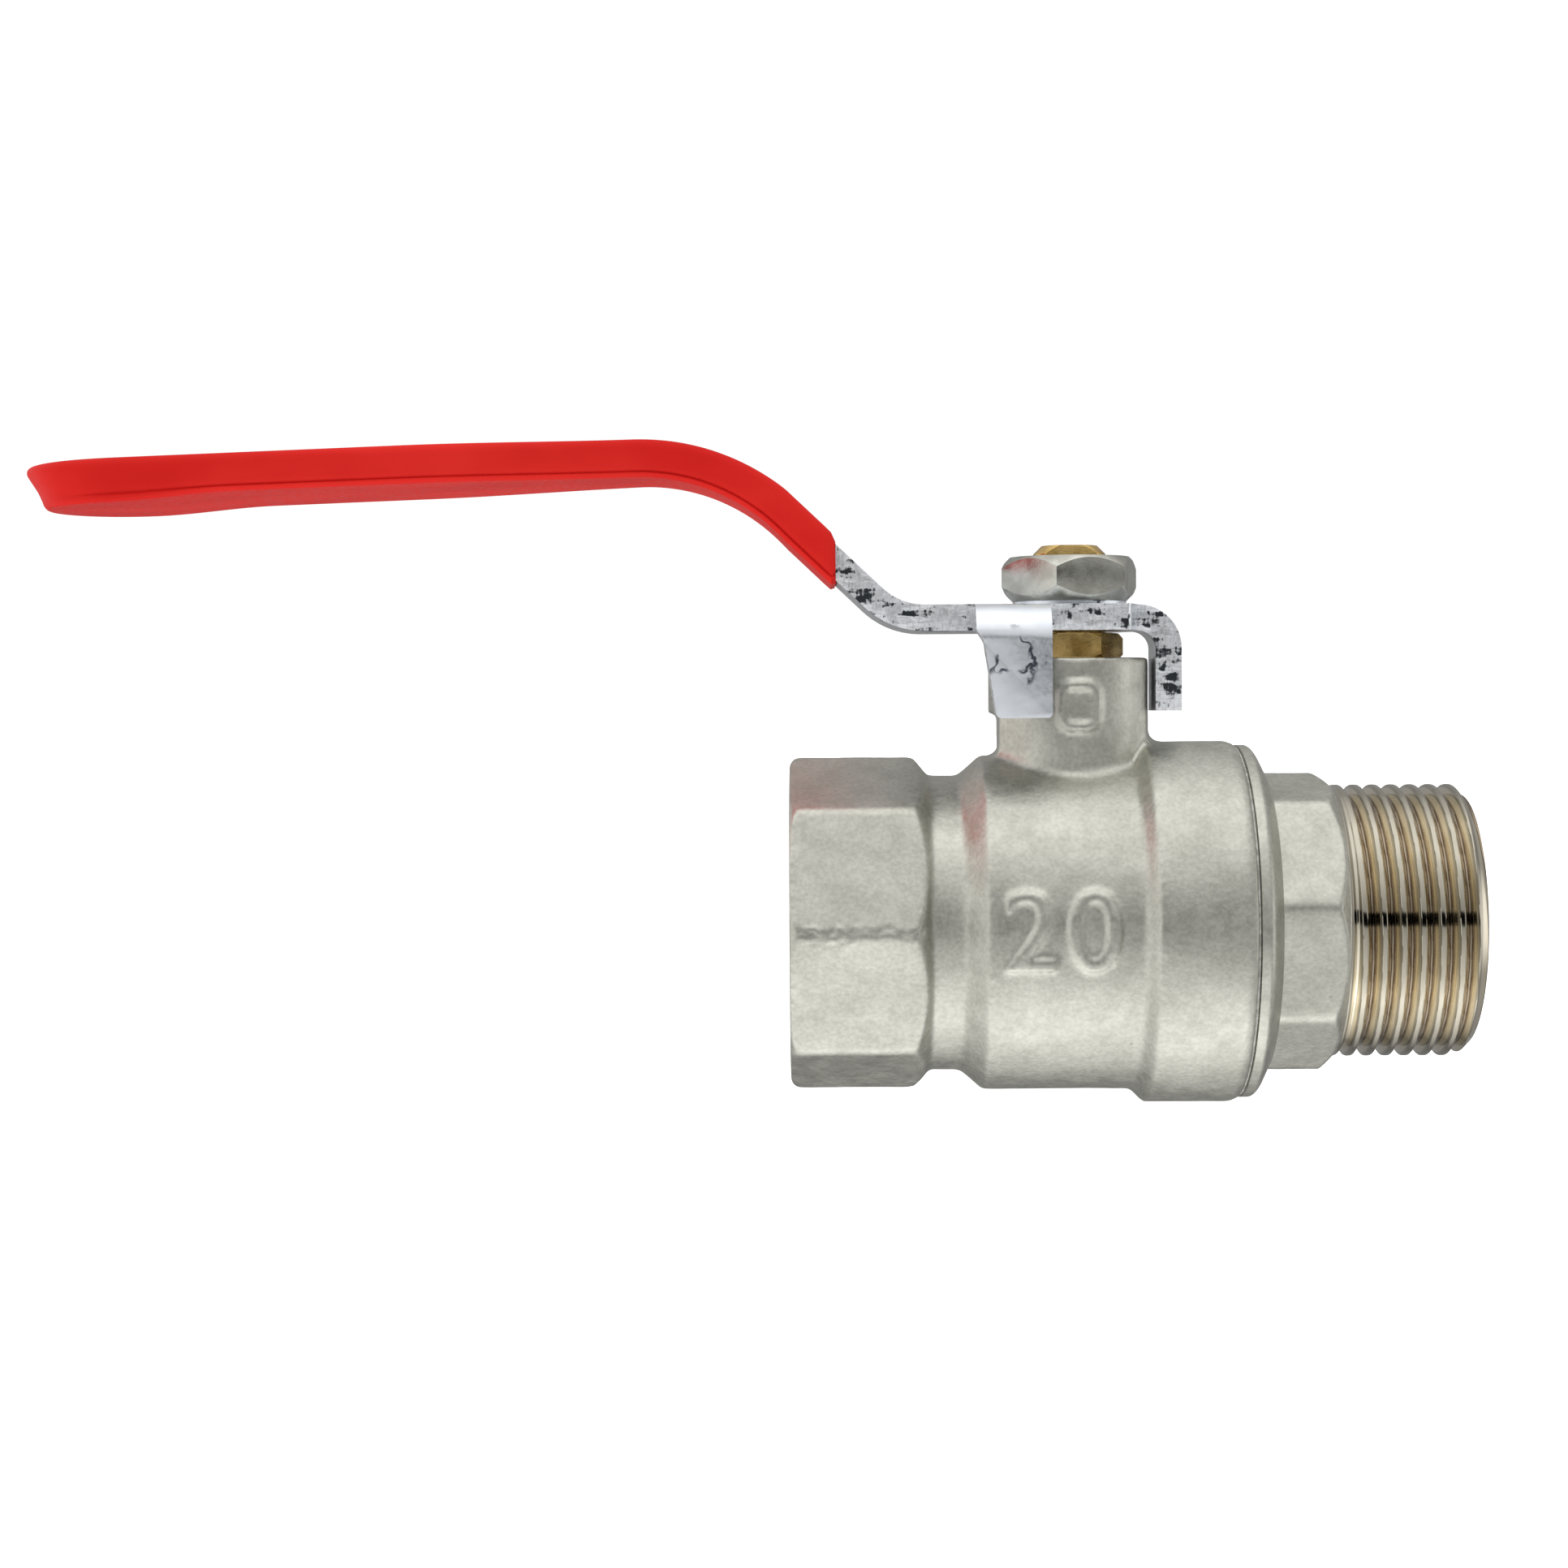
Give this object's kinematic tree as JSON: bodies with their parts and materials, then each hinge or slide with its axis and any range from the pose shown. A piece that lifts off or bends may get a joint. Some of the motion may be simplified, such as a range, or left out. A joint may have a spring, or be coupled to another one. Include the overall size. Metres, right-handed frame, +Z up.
{
  "type": "ball valve",
  "caption": "Lever-operated two-piece ball valve with a female inlet thread, a male outlet thread and a quarter-turn steel lever with a dipped vinyl grip.",
  "frame": {"origin": "centre of the inlet mouth, on the pipe axis", "axes": "+X along the pipe axis to the outlet, +Z up the stem to the lever, the open lever points along -X"},
  "size_m": [0.1394, 0.035, 0.0641],
  "materials": {
    "nickel_plate": "grit-blasted forging with satin nickel plate",
    "bare_brass": "machined",
    "plated_steel": "bright zinc plate",
    "nut_plate": "satin nickel plate",
    "red_vinyl": "dipped vinyl, semi-gloss",
    "ptfe": "moulded",
    "chrome_ball": "polished plate",
    "black_rubber": "moulded",
    "joint_compound": "cured thread sealant"
  },
  "bodies": {
    "housing": {"valve_body": "nickel_plate", "tail_piece": "nickel_plate", "body_joint_ring": "joint_compound", "seat_ring_inlet": "ptfe", "seat_ring_outlet": "ptfe", "stem_thrust_washer": "ptfe", "packing_ring_lower": "ptfe", "packing_ring_middle": "ptfe", "packing_ring_upper": "ptfe", "gland_follower": "bare_brass", "gland_nut": "bare_brass"},
    "handle": {"stem": "bare_brass", "stem_o_ring": "black_rubber", "lever": "plated_steel", "grip_sleeve": "red_vinyl", "lever_washer": "plated_steel", "lever_nut": "nut_plate"},
    "ball": {"ball": "chrome_ball"}
  },
  "joints": [
    {"name": "lever_turn", "type": "hinge", "parent": "housing", "child": "handle", "pos_m": [0.0273, 0, 0.02945], "axis": [0, 0, -1], "range_deg": [0, 90]},
    {"name": "ball_turn", "type": "hinge", "parent": "housing", "child": "ball", "pos_m": [0.0273, 0, 0], "axis": [0, 0, -1], "range_deg": [0, 90]}
  ],
  "couplings": [
    {"joint": "ball_turn", "follows": "lever_turn", "ratio": 1}
  ]
}
